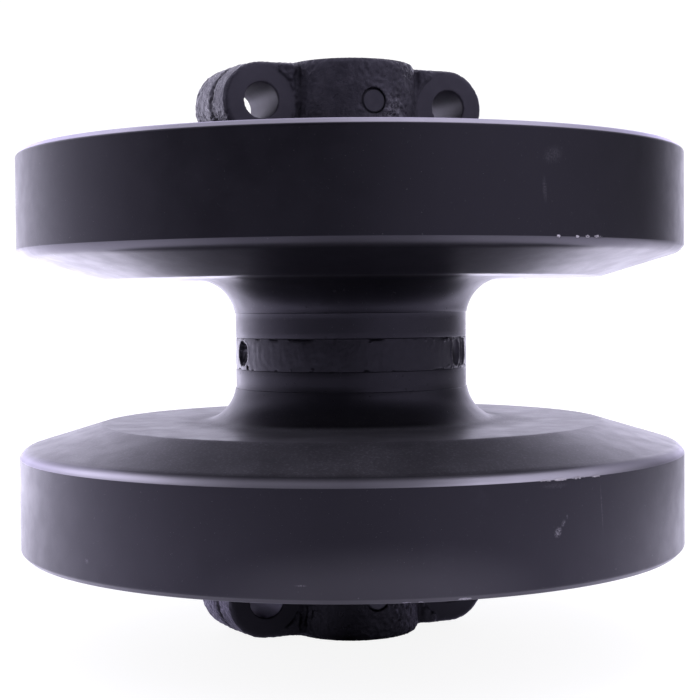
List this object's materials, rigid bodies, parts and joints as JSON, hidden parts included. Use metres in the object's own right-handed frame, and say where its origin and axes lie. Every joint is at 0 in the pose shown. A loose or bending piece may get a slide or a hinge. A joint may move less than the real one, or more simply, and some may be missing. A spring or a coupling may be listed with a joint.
{
  "type": "track roller",
  "caption": "Double-rim track roller with a welded hub turning on a fixed shaft, held by a cast bolt-on collar at each end.",
  "frame": {"origin": "middle of the roller, on the shaft's axis", "axes": "+Z along the shaft, +X along the line between one collar's two bolt holes, +Y out of the flat mounting faces"},
  "size_m": [0.254, 0.254, 0.2184],
  "materials": {
    "rim_paint": "satin black paint over machined forged steel, dusty and lightly scuffed",
    "weld_paint": "satin black paint over a rippled weld bead",
    "collar_paint": "semi-gloss black paint over a rough sand casting",
    "shaft_steel": "ground steel, painted black on the exposed ends",
    "pin_steel": "satin black paint over a steel pin",
    "bronze": "machined bearing bronze",
    "seal_iron": "lapped hard iron",
    "seal_rubber": "matt nitrile rubber",
    "plug_steel": "dark steel plug"
  },
  "bodies": {
    "axle": {"shaft": "shaft_steel", "upper_collar": "collar_paint", "lower_collar": "collar_paint", "upper_collar_pin": "pin_steel", "lower_collar_pin": "pin_steel", "upper_fixed_seal_ring": "seal_iron", "lower_fixed_seal_ring": "seal_iron", "upper_fixed_seal_toric": "seal_rubber", "lower_fixed_seal_toric": "seal_rubber", "upper_shaft_o_ring": "seal_rubber", "lower_shaft_o_ring": "seal_rubber", "oil_plug": "plug_steel"},
    "roller": {"upper_rim": "rim_paint", "lower_rim": "rim_paint", "seam_weld": "weld_paint", "upper_bushing": "bronze", "lower_bushing": "bronze", "upper_rotating_seal_ring": "seal_iron", "lower_rotating_seal_ring": "seal_iron", "upper_rotating_seal_toric": "seal_rubber", "lower_rotating_seal_toric": "seal_rubber"}
  },
  "joints": [
    {"name": "roller_spin", "type": "hinge", "parent": "axle", "child": "roller", "pos_m": [0, 0, 0], "axis": [0, 0, 1], "continuous": true}
  ]
}
